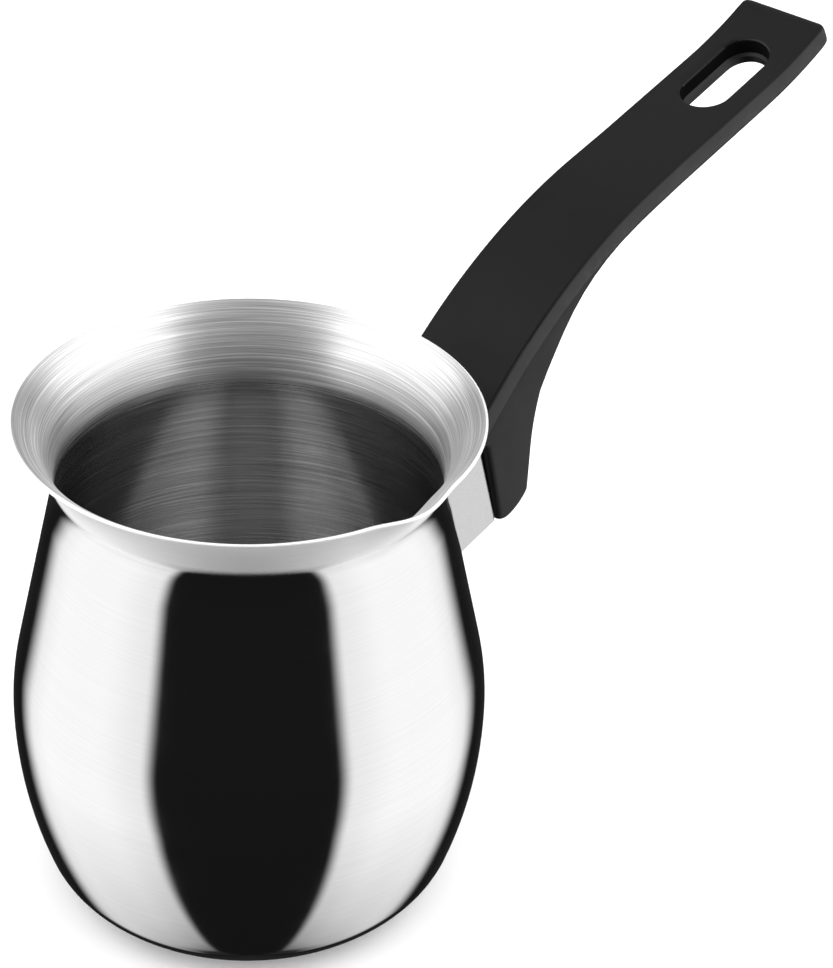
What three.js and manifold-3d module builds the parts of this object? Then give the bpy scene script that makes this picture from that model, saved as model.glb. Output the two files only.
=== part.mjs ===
// A steel coffee pot for the stove, with a moulded handle on a folded bracket.
//
// Millimetres and degrees. +Z is up, the pot stands on z = 0 with its axis on the Z axis,
// the handle points along +X and the pouring lip stands near -Y.

import * as THREE from "three";
import { mergeVertices } from "three/addons/utils/BufferGeometryUtils.js";
import Module from "manifold-3d";

const wasm = await Module();
wasm.setup();

// Space left between two pieces that touch.
const GAP = 0.3;

// Pot: one drawn and spun sheet, described by the outer side of its wall from the base up.
const WALL = 0.8;
const BASE_FLAT_RADIUS = 30.2;
const CORNER_RADIUS = 13;
const LOW_BELLY_RADIUS = 100;
const LOW_BELLY_SWEEP = 18;
const HIGH_BELLY_RADIUS = 65;
const SHOULDER_TILT = 12.3;
const SHOULDER_LENGTH = 33.3;
const NECK_RADIUS = 30;
const FLARE_RADIUS = 16;
const FLARE_ANGLE = 55;
const POT_SIDES = 80;

// Pouring lip: a small outward and downward pull of the flared rim.
const LIP_DIRECTION = -92;
const LIP_HALF_WIDTH = 15;
const LIP_REACH = 1.2;
const LIP_DROP = 0.7;

// Bracket: a folded strip that leans a little more than the shoulder. Its web stands off the
// shoulder, and its arms end in flanges that turn in under the arms and lie on the shoulder.
const STRIP = 1.5;
const BRACKET_TILT = 16.8;
const BRACKET_HEIGHT = 64.4;
const BRACKET_LENGTH = 20.7;
const STANDOFF = 16;
const WEB_BEND = 0.8;
const FLANGE_BEND = 3.2;
const FLANGE_START = 8.4;
const FLANGE_SWEEP = 5.5;
const FLANGE_SURFACE_RADIUS = 46.9;

// Screw M5, its washers and its nut, on one axis square to the web.
const SHANK_RADIUS = 2.5;
const HOLE_RADIUS = 2.8;
const HEAD_RADIUS = 4.7;
const HEAD_HEIGHT = 3;
const SHANK_LENGTH = 16;
const SHANK_CHAMFER = 0.6;
const RECESS_HALF_WIDTH = 0.5;
const RECESS_HALF_LENGTH = 2.3;
const RECESS_DEPTH = 1.8;
const NUT_ACROSS_FLATS = 8;
const NUT_THICKNESS = 4;
const FLAT_WASHER_RADIUS = 5;
const FLAT_WASHER_THICKNESS = 1;
const SPRING_WASHER_RADIUS = 4.4;
const SPRING_WASHER_THICKNESS = 1.3;
const SPRING_WASHER_SPLIT = 16;
const RING_SEGMENTS = 28;
const SEAT_THICKNESS = 5;
const COUNTERBORE_RADIUS = 5.6;

// Handle: a bar whose top face follows two arcs and a straight, with a foot under its nose.
const TOP_START = { x: 51.5, z: 83.3, heading: 50.2 };
const TOP_LOW_ARC = { radius: 115.5, turn: -33.7, steps: 12 };
const TOP_STRAIGHT = { length: 40.6 };
const TOP_TIP_ARC = { radius: 100, turn: 12.9, steps: 6 };
const GRIP_WIDTH = 22.4;
const NOSE_WIDTH = 24.6;
const NOSE_X = 60;
const GRIP_X = 118;
const GRIP_THICKNESS = 6.5;
const GRIP_STEPS = 44;
const PARTING_DEPTH = 4.2;
const TOP_ROUNDING = 0.8;
const TOP_LEAN = 0.3;
const UNDER_ROUNDING = 1.3;
const UNDER_LEAN = 0.7;
const TIP_CORNER_RADIUS = 2;
const FOOT_WIDTH = 24;
const FOOT_DROP = 13;
const FOOT_RISE = 14;
const FOOT_TOE_RADIUS = 2.2;
const FOOT_SOLE_RADIUS = 11.2;
const FOOT_SOLE_TURN = 50;
const FOOT_HEEL_RADIUS = 2.5;
const FOOT_BACK_RADIUS = 50;
const FOOT_BACK_TURN = 42;
const FOOT_BACK_START_Z = 72.5;
const SLOT_WIDTH = 11.4;
const SLOT_LENGTH = 24.5;
const SLOT_FROM_TIP = 23.2;
const SLOT_LEAN_FROM_TIP = 9;

const STEEL = { color: 0xd4d5d7, metalness: 1, roughness: 0.12 };
const SATIN_STEEL = { color: 0xc4c5c6, metalness: 1, roughness: 0.38 };
const ZINC_STEEL = { color: 0xb9bbbc, metalness: 1, roughness: 0.3 };
const BLACK_PHENOLIC = { color: 0x16171a, metalness: 0, roughness: 0.42 };

const radians = THREE.MathUtils.degToRad;

// Walks a smooth outline made of straights {length} and arcs {radius, turn, steps}, each one
// tangent to the last. A positive turn bends to the left. Each point keeps its heading.
function walk(x, y, heading, moves) {
  const points = [{ x, y, heading }];
  for (const { length = 0, radius = 0, turn = 0, steps = 1 } of moves) {
    const step = turn / steps;
    const chord = length || 2 * radius * Math.sin(Math.abs(radians(step)) / 2);
    for (let i = 0; i < steps; i++) {
      const last = points.at(-1);
      const course = radians(last.heading + step / 2);
      points.push({
        x: last.x + chord * Math.cos(course),
        y: last.y + chord * Math.sin(course),
        heading: last.heading + step,
      });
    }
  }
  return points;
}

// The same outline moved sideways, to the left of its heading.
function shifted(points, distance) {
  return points.map(({ x, y, heading }) => ({
    x: x - distance * Math.sin(radians(heading)),
    y: y + distance * Math.cos(radians(heading)),
    heading,
  }));
}

function vectors(points) {
  return points.map(({ x, y }) => new THREE.Vector2(x, y));
}

// Turns a closed geometry into a solid that can be joined and cut.
function solid(geometry) {
  const bare = new THREE.BufferGeometry();
  bare.setAttribute("position", geometry.getAttribute("position"));
  bare.setIndex(geometry.getIndex());
  const merged = mergeVertices(bare, 1e-4);
  const vertProperties = new Float32Array(merged.getAttribute("position").array);
  const triVerts = new Uint32Array(merged.getIndex().array);
  return new wasm.Manifold(new wasm.Mesh({ numProp: 3, vertProperties, triVerts }));
}

// Turns a solid back into a geometry with flat-shaded normals.
function geometryOf(body) {
  const { vertProperties, triVerts } = body.getMesh();
  const shared = new THREE.BufferGeometry();
  shared.setAttribute("position", new THREE.BufferAttribute(vertProperties, 3));
  shared.setIndex(new THREE.BufferAttribute(triVerts, 1));
  const geometry = shared.toNonIndexed();
  geometry.computeVertexNormals();
  return geometry;
}

function extruded(outline, depth, holes = []) {
  const shape = new THREE.Shape(outline);
  shape.holes = holes;
  return new THREE.ExtrudeGeometry(shape, { depth, bevelEnabled: false, curveSegments: 10 });
}

// A round bar along +X, from one x to another.
function bar(from, to, radius, sides = 24) {
  const geometry = new THREE.CylinderGeometry(radius, radius, to - from, sides);
  geometry.rotateZ(-Math.PI / 2);
  geometry.translate((from + to) / 2, 0, 0);
  return geometry;
}

// Turns a profile of (radius, distance along the axis) about the +X axis.
function turned(profile, sides = 24) {
  const geometry = new THREE.LatheGeometry(profile, sides);
  geometry.rotateZ(-Math.PI / 2);
  return geometry;
}

function piece(name, geometry, look) {
  const mesh = new THREE.Mesh(geometry, new THREE.MeshStandardMaterial(look));
  mesh.name = name;
  return mesh;
}

// ---- Pot -------------------------------------------------------------------------------------

const lowerWall = [
  { radius: CORNER_RADIUS, turn: 90 - LOW_BELLY_SWEEP, steps: 6 },
  { radius: LOW_BELLY_RADIUS, turn: LOW_BELLY_SWEEP, steps: 4 },
  { radius: HIGH_BELLY_RADIUS, turn: SHOULDER_TILT, steps: 3 },
];
const upperWall = [
  { radius: NECK_RADIUS, turn: -SHOULDER_TILT, steps: 2 },
  { radius: FLARE_RADIUS, turn: -FLARE_ANGLE, steps: 6 },
];
const shoulderFoot = walk(BASE_FLAT_RADIUS, 0, 0, lowerWall).at(-1);
const outerWall = walk(BASE_FLAT_RADIUS, 0, 0, [...lowerWall, { length: SHOULDER_LENGTH }, ...upperWall]);
const rimHeight = outerWall.at(-1).y;
const neckHeight = rimHeight - FLARE_RADIUS * Math.sin(radians(FLARE_ANGLE));

// Radius of the outer wall at a height on the straight shoulder.
function shoulderRadius(z) {
  return shoulderFoot.x - (z - shoulderFoot.y) * Math.tan(radians(SHOULDER_TILT));
}

// Pulls the flare outward and down around the lip's direction.
function pullLip(geometry) {
  const position = geometry.getAttribute("position");
  const point = new THREE.Vector3();
  for (let i = 0; i < position.count; i++) {
    point.fromBufferAttribute(position, i);
    const direction = THREE.MathUtils.radToDeg(Math.atan2(point.y, point.x));
    const across = Math.min(1, Math.abs(direction - LIP_DIRECTION) / LIP_HALF_WIDTH);
    const up = THREE.MathUtils.smoothstep(point.z, neckHeight, rimHeight);
    const pull = up * Math.cos((across * Math.PI) / 2) ** 2;
    const spread = 1 + (pull * LIP_REACH) / Math.hypot(point.x, point.y, 1e-6);
    position.setXYZ(i, point.x * spread, point.y * spread, point.z - pull * LIP_DROP);
  }
}

function potBody() {
  const innerWall = shifted(outerWall, WALL).reverse();
  const rim = shifted([outerWall.at(-1)], WALL / 2).map(({ x, y, heading }) => ({
    x: x + (WALL / 2) * Math.cos(radians(heading)),
    y: y + (WALL / 2) * Math.sin(radians(heading)),
  }));
  const profile = [{ x: 0, y: 0 }, ...outerWall, ...rim, ...innerWall, { x: 0, y: WALL }];
  const geometry = new THREE.LatheGeometry(vectors(profile), POT_SIDES);
  geometry.rotateX(Math.PI / 2);
  pullLip(geometry);
  return piece("pot_body", geometry, STEEL);
}

// ---- Bracket frame: x outward from the shoulder, z up along the web, origin on the shoulder ------

const bracketFrame = new THREE.Group();
bracketFrame.position.set(shoulderRadius(BRACKET_HEIGHT), 0, BRACKET_HEIGHT);
bracketFrame.rotation.y = -radians(BRACKET_TILT);
bracketFrame.updateMatrixWorld(true);

// A point of the bracket frame's middle plane, as (x, z) of the object.
function fromBracket(outward, up) {
  const point = new THREE.Vector3(outward, 0, up).applyMatrix4(bracketFrame.matrixWorld);
  return { x: point.x, y: point.z };
}

// A round bar on the screw's axis, placed in the object's frame.
function screwAxisBar(from, to, radius) {
  return bar(from, to, radius).applyMatrix4(bracketFrame.matrixWorld);
}

// ---- Bracket ---------------------------------------------------------------------------------

// Middle line of the strip from the centre of the web to the end of one flange, seen along the
// web. The web and arm lengths are what brings the flange onto the wall.
function halfStrip() {
  const middleRadius = FLANGE_SURFACE_RADIUS + STRIP / 2;
  const axis = GAP - FLANGE_SURFACE_RADIUS;
  const webBend = { radius: WEB_BEND, turn: 90, steps: 4 };
  const flangeBend = { radius: FLANGE_BEND, turn: 90 + FLANGE_START, steps: 8 };
  const bare = walk(STANDOFF - STRIP / 2, 0, 90, [webBend, flangeBend]).at(-1);
  const flangeX = axis + middleRadius * Math.cos(radians(FLANGE_START));
  const flangeY = middleRadius * Math.sin(radians(FLANGE_START));
  return walk(STANDOFF - STRIP / 2, 0, 90, [
    { length: flangeY - bare.y },
    webBend,
    { length: bare.x - flangeX },
    flangeBend,
    { radius: middleRadius, turn: -FLANGE_SWEEP, steps: 3 },
  ]);
}

// Leans the flanges back onto the shoulder and leaves the web upright in the bracket frame.
function fitToShoulder(geometry) {
  const position = geometry.getAttribute("position");
  const lean = Math.tan(radians(BRACKET_TILT - SHOULDER_TILT));
  for (let i = 0; i < position.count; i++) {
    const x = position.getX(i);
    const share = Math.max(0, 1 - x / (STANDOFF - STRIP));
    position.setX(i, x + share * lean * position.getZ(i));
  }
  return geometry;
}

function handleBracket() {
  const half = halfStrip();
  const mirrored = half
    .slice(1)
    .reverse()
    .map(({ x, y, heading }) => ({ x, y: -y, heading: 180 - heading }));
  const middle = [...mirrored, ...half];
  const outline = [...shifted(middle, -STRIP / 2), ...shifted(middle, STRIP / 2).reverse()];
  const strip = extruded(vectors(outline), BRACKET_LENGTH);
  strip.translate(0, 0, -BRACKET_LENGTH / 2);
  const hole = bar(STANDOFF - 2 * STRIP, STANDOFF + STRIP, HOLE_RADIUS);
  const body = solid(fitToShoulder(strip)).subtract(solid(hole));
  return piece("handle_bracket", geometryOf(body), SATIN_STEEL);
}

// ---- Screw, washers and nut, stacked outward from the web ---------------------------------------

const footFace = STANDOFF + GAP;
const seat = footFace + SEAT_THICKNESS;
const flatWasherBack = seat + GAP;
const springWasherBack = flatWasherBack + FLAT_WASHER_THICKNESS + GAP;
const headSeat = springWasherBack + SPRING_WASHER_THICKNESS + GAP;

function nut() {
  const corner = NUT_ACROSS_FLATS / 2 / Math.cos(Math.PI / 6);
  const hexagon = new THREE.CylinderGeometry(corner, corner, NUT_THICKNESS, 6);
  hexagon.rotateZ(-Math.PI / 2);
  hexagon.translate(STANDOFF - STRIP - GAP - NUT_THICKNESS / 2, 0, 0);
  const bore = bar(0, STANDOFF, HOLE_RADIUS);
  return piece("captive_nut", geometryOf(solid(hexagon).subtract(solid(bore))), ZINC_STEEL);
}

function ring(name, back, radius, thickness, openAngle) {
  const start = radians(openAngle / 2);
  const end = 2 * Math.PI - start;
  const edge = new THREE.Path().absarc(0, 0, radius, start, end);
  const outline = edge.getSpacedPoints(RING_SEGMENTS);
  const inner = new THREE.Path().absarc(0, 0, HOLE_RADIUS, end, start, true);
  const bore = inner.getSpacedPoints(RING_SEGMENTS);
  const geometry = openAngle
    ? extruded([...outline, ...bore], thickness)
    : extruded(outline.slice(0, -1), thickness, [new THREE.Path(bore.slice(0, -1))]);
  geometry.rotateY(Math.PI / 2);
  geometry.translate(back, 0, 0);
  return piece(name, geometry, ZINC_STEEL);
}

function screw() {
  const dome = new THREE.Path().absellipse(0, 0, HEAD_RADIUS, HEAD_HEIGHT, 0, Math.PI / 2);
  const profile = [
    new THREE.Vector2(0, -SHANK_LENGTH),
    new THREE.Vector2(SHANK_RADIUS - SHANK_CHAMFER, -SHANK_LENGTH),
    new THREE.Vector2(SHANK_RADIUS, SHANK_CHAMFER - SHANK_LENGTH),
    new THREE.Vector2(SHANK_RADIUS, 0),
    ...dome.getSpacedPoints(6),
  ];
  profile.at(-1).x = 0;
  const blank = turned(profile);
  blank.translate(headSeat, 0, 0);
  const slot = new THREE.BoxGeometry(2 * RECESS_DEPTH, 2 * RECESS_HALF_WIDTH, 2 * RECESS_HALF_LENGTH);
  slot.translate(headSeat + HEAD_HEIGHT, 0, 0);
  const crossed = slot.clone().rotateX(Math.PI / 2);
  const body = solid(blank).subtract(solid(slot)).subtract(solid(crossed));
  return piece("handle_screw", geometryOf(body), ZINC_STEEL);
}

// ---- Handle ----------------------------------------------------------------------------------

const topMoves = [TOP_LOW_ARC, TOP_STRAIGHT, TOP_TIP_ARC];
const topLine = walk(TOP_START.x, TOP_START.z, TOP_START.heading, topMoves);

// Section of the bar: x across it, y down from its top face. Both sides lean in from the line
// where the two halves of the mould meet.
function gripSection() {
  const half = GRIP_WIDTH / 2;
  const top = half - TOP_LEAN;
  const under = half - UNDER_LEAN;
  const side = [
    [top - TOP_ROUNDING, 0],
    [top - TOP_ROUNDING / 4, TOP_ROUNDING / 4],
    [top, TOP_ROUNDING],
    [half, PARTING_DEPTH],
    [under, GRIP_THICKNESS - UNDER_ROUNDING],
    [under - UNDER_ROUNDING / 3, GRIP_THICKNESS - UNDER_ROUNDING / 3],
    [under - UNDER_ROUNDING, GRIP_THICKNESS],
  ];
  const mirrored = side.map(([x, y]) => [-x, y]).reverse();
  return new THREE.Shape([...side, ...mirrored].map(([x, y]) => new THREE.Vector2(x, y)));
}

// Widens a bar of one width evenly from the grip towards the nose, where it becomes noseWidth.
function widen(geometry, noseWidth) {
  const position = geometry.getAttribute("position");
  for (let i = 0; i < position.count; i++) {
    const share = THREE.MathUtils.clamp((GRIP_X - position.getX(i)) / (GRIP_X - NOSE_X), 0, 1);
    position.setY(i, position.getY(i) * THREE.MathUtils.lerp(1, noseWidth / GRIP_WIDTH, share));
  }
  return geometry;
}

function grip() {
  const path = new THREE.CatmullRomCurve3(topLine.map(({ x, y }) => new THREE.Vector3(x, 0, y)));
  const blank = new THREE.ExtrudeGeometry(gripSection(), { extrudePath: path, steps: GRIP_STEPS });
  return solid(widen(blank, NOSE_WIDTH));
}

// Extrudes an outline of (x, z) across the handle, as wide as the grip.
function acrossHandle(outline) {
  const geometry = extruded(outline, GRIP_WIDTH);
  geometry.rotateX(Math.PI / 2);
  geometry.translate(0, GRIP_WIDTH / 2, 0);
  return geometry;
}

// The foot, from its toe under the web, round the heel and up its hollow back, into the bar.
function foot() {
  const toe = fromBracket(footFace, -FOOT_DROP);
  const sole = walk(toe.x, toe.y, -BRACKET_TILT, [
    { radius: FOOT_TOE_RADIUS, turn: BRACKET_TILT, steps: 2 },
    { radius: FOOT_SOLE_RADIUS, turn: FOOT_SOLE_TURN, steps: 5 },
    { radius: FOOT_HEEL_RADIUS, turn: 90 - FOOT_SOLE_TURN, steps: 3 },
  ]);
  const heel = sole.at(-1);
  const back = walk(heel.x, heel.y, 90, [
    { length: FOOT_BACK_START_Z - heel.y },
    { radius: FOOT_BACK_RADIUS, turn: -FOOT_BACK_TURN, steps: 6 },
  ]);
  const top = fromBracket(footFace, FOOT_RISE);
  const inBar = shifted(topLine, -PARTING_DEPTH)
    .filter(({ x }) => x > top.x + FOOT_TOE_RADIUS && x < back.at(-1).x)
    .reverse();
  const outline = vectors([...sole, ...back.slice(1), ...inBar, top]);
  return solid(widen(acrossHandle(outline), FOOT_WIDTH));
}

// The hanging slot, square to the top face near the tip.
function hangingSlot() {
  const r = SLOT_WIDTH / 2;
  const straight = SLOT_LENGTH / 2 - r;
  const outline = new THREE.Path()
    .absarc(straight, 0, r, -Math.PI / 2, Math.PI / 2)
    .absarc(-straight, 0, r, Math.PI / 2, (3 * Math.PI) / 2);
  const points = outline.getPoints(10).slice(0, -1);
  const reach = 2 * GRIP_THICKNESS;
  const geometry = extruded(points, 2 * reach);
  geometry.translate(0, 0, -reach);
  const tip = topLine.at(-1);
  const lean = radians(tip.heading - SLOT_LEAN_FROM_TIP);
  geometry.rotateY(-lean);
  geometry.translate(tip.x - SLOT_FROM_TIP * Math.cos(lean), 0, tip.y - SLOT_FROM_TIP * Math.sin(lean));
  return solid(geometry);
}

// Everything inside this outline, seen from above, stays: it rounds the two corners of the tip.
function tipRounding() {
  const r = TIP_CORNER_RADIUS;
  const half = GRIP_WIDTH / 2;
  const end = topLine.at(-1).x + GRIP_THICKNESS * Math.sin(radians(topLine.at(-1).heading));
  const outline = new THREE.Path()
    .moveTo(0, -2 * half)
    .lineTo(end - 4 * r, -2 * half)
    .lineTo(end - 4 * r, -half)
    .lineTo(end - r, -half);
  outline.absarc(end - r, -half + r, r, -Math.PI / 2, 0);
  outline.absarc(end - r, half - r, r, 0, Math.PI / 2);
  outline.lineTo(end - 4 * r, half);
  outline.lineTo(end - 4 * r, 2 * half);
  outline.lineTo(0, 2 * half);
  return solid(extruded(outline.getPoints(5), 2 * rimHeight));
}

function handle() {
  const outside = headSeat + FOOT_WIDTH;
  const shankHole = solid(screwAxisBar(0, outside, HOLE_RADIUS));
  const counterbore = solid(screwAxisBar(seat, outside, COUNTERBORE_RADIUS));
  const body = grip()
    .add(foot())
    .intersect(tipRounding())
    .subtract(hangingSlot())
    .subtract(shankHole)
    .subtract(counterbore);
  return piece("handle", geometryOf(body), BLACK_PHENOLIC);
}

// ---- Assembly --------------------------------------------------------------------------------

bracketFrame.add(
  handleBracket(),
  nut(),
  ring("flat_washer", flatWasherBack, FLAT_WASHER_RADIUS, FLAT_WASHER_THICKNESS, 0),
  ring(
    "spring_washer",
    springWasherBack,
    SPRING_WASHER_RADIUS,
    SPRING_WASHER_THICKNESS,
    SPRING_WASHER_SPLIT,
  ),
  screw(),
);

const coffeePot = new THREE.Group();
coffeePot.add(potBody(), bracketFrame, handle());

export default coffeePot;
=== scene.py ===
"""Looks of a steel coffee pot with a moulded handle on a folded bracket, built around its CAD frame.

Metres, +Z up. The pot stands on z = 0 with its axis on the Z axis, the handle points along +X and the
pouring lip nearly along -Y. Dimensions are in millimetres and are multiplied by MM where a mesh is made.
"""

import math

import bmesh
import bpy
from mathutils import Euler, Matrix, Vector
from mathutils.geometry import delaunay_2d_cdt


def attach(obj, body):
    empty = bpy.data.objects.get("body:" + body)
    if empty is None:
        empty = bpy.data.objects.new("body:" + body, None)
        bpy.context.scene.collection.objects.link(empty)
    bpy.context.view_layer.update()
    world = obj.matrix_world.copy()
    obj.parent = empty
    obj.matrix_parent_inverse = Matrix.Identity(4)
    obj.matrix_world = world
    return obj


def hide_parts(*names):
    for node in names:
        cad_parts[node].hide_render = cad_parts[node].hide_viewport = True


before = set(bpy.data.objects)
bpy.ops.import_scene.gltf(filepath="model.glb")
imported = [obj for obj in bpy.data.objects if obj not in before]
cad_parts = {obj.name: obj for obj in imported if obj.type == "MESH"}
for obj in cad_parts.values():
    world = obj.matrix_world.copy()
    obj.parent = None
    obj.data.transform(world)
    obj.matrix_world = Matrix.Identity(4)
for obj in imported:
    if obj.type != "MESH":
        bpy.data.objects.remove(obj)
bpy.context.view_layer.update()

MM = 0.001
BODY = "root"
SCENE = bpy.context.scene

# Pot, as in the CAD: the outer side of its wall from the base up.
WALL = 0.8
BASE_FLAT_RADIUS = 30.2
CORNER_RADIUS = 13
LOW_BELLY_RADIUS = 100
LOW_BELLY_SWEEP = 18
HIGH_BELLY_RADIUS = 65
SHOULDER_TILT = 12.3
SHOULDER_LENGTH = 33.3
NECK_RADIUS = 30
FLARE_RADIUS = 16
FLARE_ANGLE = 55
RIM_STEPS = 8
BASE_RINGS_OUTSIDE = 6
BASE_RINGS_INSIDE = 12
POT_SIDES = 216
LIP_DIRECTION = -92
LIP_HALF_WIDTH = 15
LIP_REACH = 1.2
LIP_DROP = 0.7

# Bracket, as in the CAD.
GAP = 0.3
STRIP = 1.5
BRACKET_TILT = 16.8
BRACKET_HEIGHT = 64.4
BRACKET_LENGTH = 20.7
STANDOFF = 16
WEB_BEND = 0.8
FLANGE_BEND = 3.2
FLANGE_START = 8.4
FLANGE_SWEEP = 5.5
FLANGE_SURFACE_RADIUS = 46.9
STRIP_EDGE_RADIUS = 0.25

# Screw M5, washers and nut, as in the CAD.
SHANK_RADIUS = 2.5
HOLE_RADIUS = 2.8
THREAD_PITCH = 0.8
THREAD_DEPTH = 0.42
ROWS_PER_PITCH = 8
TIP_TAPER = 0.6
TIP_TAPER_LENGTH = 1.2
HEAD_RADIUS = 4.7
HEAD_HEIGHT = 3
HEAD_WALL = 0.5
HEAD_CHAMFER = 0.2
HEAD_STEPS = 12
SHANK_LENGTH = 16
RECESS_DEPTH = 1.9
RECESS_TOP_HALF = 2.3
RECESS_LOW_HALF = 0.9
RECESS_HALF_WIDTH = 0.5
NUT_ACROSS_FLATS = 8
NUT_THICKNESS = 4
NUT_CHAMFER_ANGLE = 30
NUT_EDGE_RADIUS = 0.12
FLAT_WASHER_RADIUS = 5
FLAT_WASHER_THICKNESS = 1
SPRING_WASHER_RADIUS = 4.4
SPRING_WASHER_THICKNESS = 1.3
SPRING_WASHER_GAP_ANGLE = 16
WASHER_EDGE = 0.12
WASHER_STEPS = 72
SEAT_THICKNESS = 5
COUNTERBORE_RADIUS = 5.6
COUNTERBORE_FILLET = 0.4
COUNTERBORE_DRAFT = 0.2
COUNTERBORE_REACH = 20
SHANK_HOLE_CHAMFER = 0.3

# Handle, as in the CAD, with the roundings that the mould gives it.
TOP_START = (51.5, 83.3, 50.2)
TOP_LOW_ARC = (115.5, -33.7)
TOP_STRAIGHT = 40.6
TOP_TIP_ARC = (100, 12.9)
GRIP_WIDTH = 22.4
NOSE_WIDTH = 24.6
NOSE_X = 60
GRIP_X = 118
GRIP_THICKNESS = 6.5
PARTING_DEPTH = 4.2
UPPER_DRAFT = 0.06
LOWER_DRAFT = 0.04
UNDERCUT_DRAFT = 0.42
UNDERCUT_START_X = 76
UNDERCUT_FULL_X = 96
TIP_CORNER_RADIUS = 2
FOOT_DROP = 13
FOOT_TOE_RADIUS = 2.2
FOOT_SOLE_RADIUS = 11.2
FOOT_SOLE_TURN = 50
FOOT_HEEL_RADIUS = 2.5
FOOT_BACK_RADIUS = 50
FOOT_BACK_TURN = 60
FOOT_BACK_START_Z = 72.5
SLOT_WIDTH = 11.4
SLOT_LENGTH = 24.5
SLOT_LEDGE_DEPTH = 4.2
SLOT_FROM_TIP = 23.2
SLOT_MOUTH_RADIUS = 0.7
SLOT_END_STEPS = 16

# Camera: where it stands from a point on the axis just above the rim, and how it is turned.
CAMERA_AIM_ABOVE_RIM = 0.3
CAMERA_AZIMUTH = -44.5
CAMERA_DISTANCE = 500
CAMERA_ELEVATION = 31.157
CAMERA_PITCH = 32.606
CAMERA_YAW = 4.291
CAMERA_ROLL = 2.180
CAMERA_LENS = 98.11


# ---- Outlines ---------------------------------------------------------------------------------

def walk(x, y, heading, moves):
    """Points (x, y, heading) of tangent moves: (length,) is a straight, (radius, turn, steps) an arc."""
    points = [(x, y, heading)]
    for move in moves:
        radius, turn, steps = move if len(move) == 3 else (0, 0, 1)
        step = turn / steps
        chord = move[0] if len(move) == 1 else 2 * radius * math.sin(math.radians(abs(step)) / 2)
        for _ in range(steps):
            last_x, last_y, last_heading = points[-1]
            course = math.radians(last_heading + step / 2)
            points.append((
                last_x + chord * math.cos(course),
                last_y + chord * math.sin(course),
                last_heading + step,
            ))
    return points


def shifted(points, distance):
    """The same outline moved sideways, to the left of its heading."""
    return [
        (x - distance * math.sin(math.radians(h)), y + distance * math.cos(math.radians(h)), h)
        for x, y, h in points
    ]


def spaced(points, spacing):
    """An open line as 2D vectors about spacing apart."""
    line = [Vector(p[:2]) for p in points]
    result = [line[0]]
    for start, end in zip(line, line[1:]):
        count = max(1, round((end - start).length / spacing))
        result += [start.lerp(end, (i + 1) / count) for i in range(count)]
    return result


def trimmed(line, length, from_end):
    """An open line without its first or last length."""
    points = list(line)[::-1] if from_end else list(line)
    while len(points) > 2 and (points[1] - points[0]).length <= length:
        length -= (points[1] - points[0]).length
        points.pop(0)
    points[0] = points[0].lerp(points[1], min(0.9, length / (points[1] - points[0]).length))
    return points[::-1] if from_end else points


def joined(lines, cuts, steps=8):
    """One closed outline from lines that follow each other, with each meeting corner rounded.

    cuts[i] is how far the rounding reaches from the corner between line i and the next one.
    """
    count = len(lines)
    short = [
        trimmed(trimmed(line, cuts[i - 1], False), cuts[i], True)
        for i, line in enumerate(lines)
    ]
    outline, owner = [], []
    for i, line in enumerate(short):
        corner = lines[i][-1]
        start, end = line[-1], short[(i + 1) % count][0]
        bend = [
            start.lerp(corner, t / steps).lerp(corner.lerp(end, t / steps), t / steps)
            for t in range(1, steps)
        ]
        outline += line + bend
        owner += [i] * len(line) + [i + t / steps for t in range(1, steps)]
    return outline, owner


def crossing(first, second):
    """Where two open lines cross: (index in first, index in second, point)."""
    for i, (a, b) in enumerate(zip(first, first[1:])):
        for j, (c, d) in enumerate(zip(second, second[1:])):
            along, other = b - a, d - c
            cross = along.cross(other)
            if abs(cross) < 1e-12:
                continue
            t = (c - a).cross(other) / cross
            u = (c - a).cross(along) / cross
            if 0 <= t <= 1 and 0 <= u <= 1:
                return i, j, a.lerp(b, t)
    raise ValueError("the lines do not cross")


# ---- Meshes -----------------------------------------------------------------------------------

def made(name, mesh, materials, smooth_angle=None):
    """A shown object from a mesh, with its materials."""
    for material in materials:
        mesh.materials.append(material)
    mesh.shade_smooth()
    if smooth_angle is not None:
        mesh.set_sharp_from_angle(angle=math.radians(smooth_angle))
    piece = bpy.data.objects.new(name, mesh)
    SCENE.collection.objects.link(piece)
    return piece


def mesh_from(verts, faces, name="mesh"):
    """A mesh in metres from vertices in millimetres, with its faces pointing out."""
    mesh = bpy.data.meshes.new(name)
    mesh.from_pydata([Vector(v) * MM for v in verts], [], faces)
    work = bmesh.new()
    work.from_mesh(mesh)
    bmesh.ops.remove_doubles(work, verts=work.verts, dist=1e-7)
    bmesh.ops.recalc_face_normals(work, faces=work.faces)
    work.to_mesh(mesh)
    work.free()
    return mesh


def lathe(profile, sides):
    """A closed mesh from a profile of (radius, z) that starts and ends on the axis."""
    verts, rings = [], []
    for radius, z in profile:
        if radius == 0:
            rings.append([len(verts)] * sides)
            verts.append((0, 0, z))
            continue
        rings.append(list(range(len(verts), len(verts) + sides)))
        turn = 2 * math.pi / sides
        verts += [(radius * math.cos(i * turn), radius * math.sin(i * turn), z) for i in range(sides)]
    faces = []
    for low, high in zip(rings, rings[1:]):
        for i in range(sides):
            j = (i + 1) % sides
            corners = [low[i], low[j], high[j], high[i]]
            faces.append(list(dict.fromkeys(corners)))
    return mesh_from(verts, faces)


def extruded(outline, low, high):
    """A prism of an (x, y) outline between two z heights."""
    count = len(outline)
    verts = [(x, y, z) for z in (low, high) for x, y in outline]
    faces = [[i, (i + 1) % count, count + (i + 1) % count, count + i] for i in range(count)]
    faces += [list(range(count))[::-1], list(range(count, 2 * count))]
    return mesh_from(verts, faces)


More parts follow.
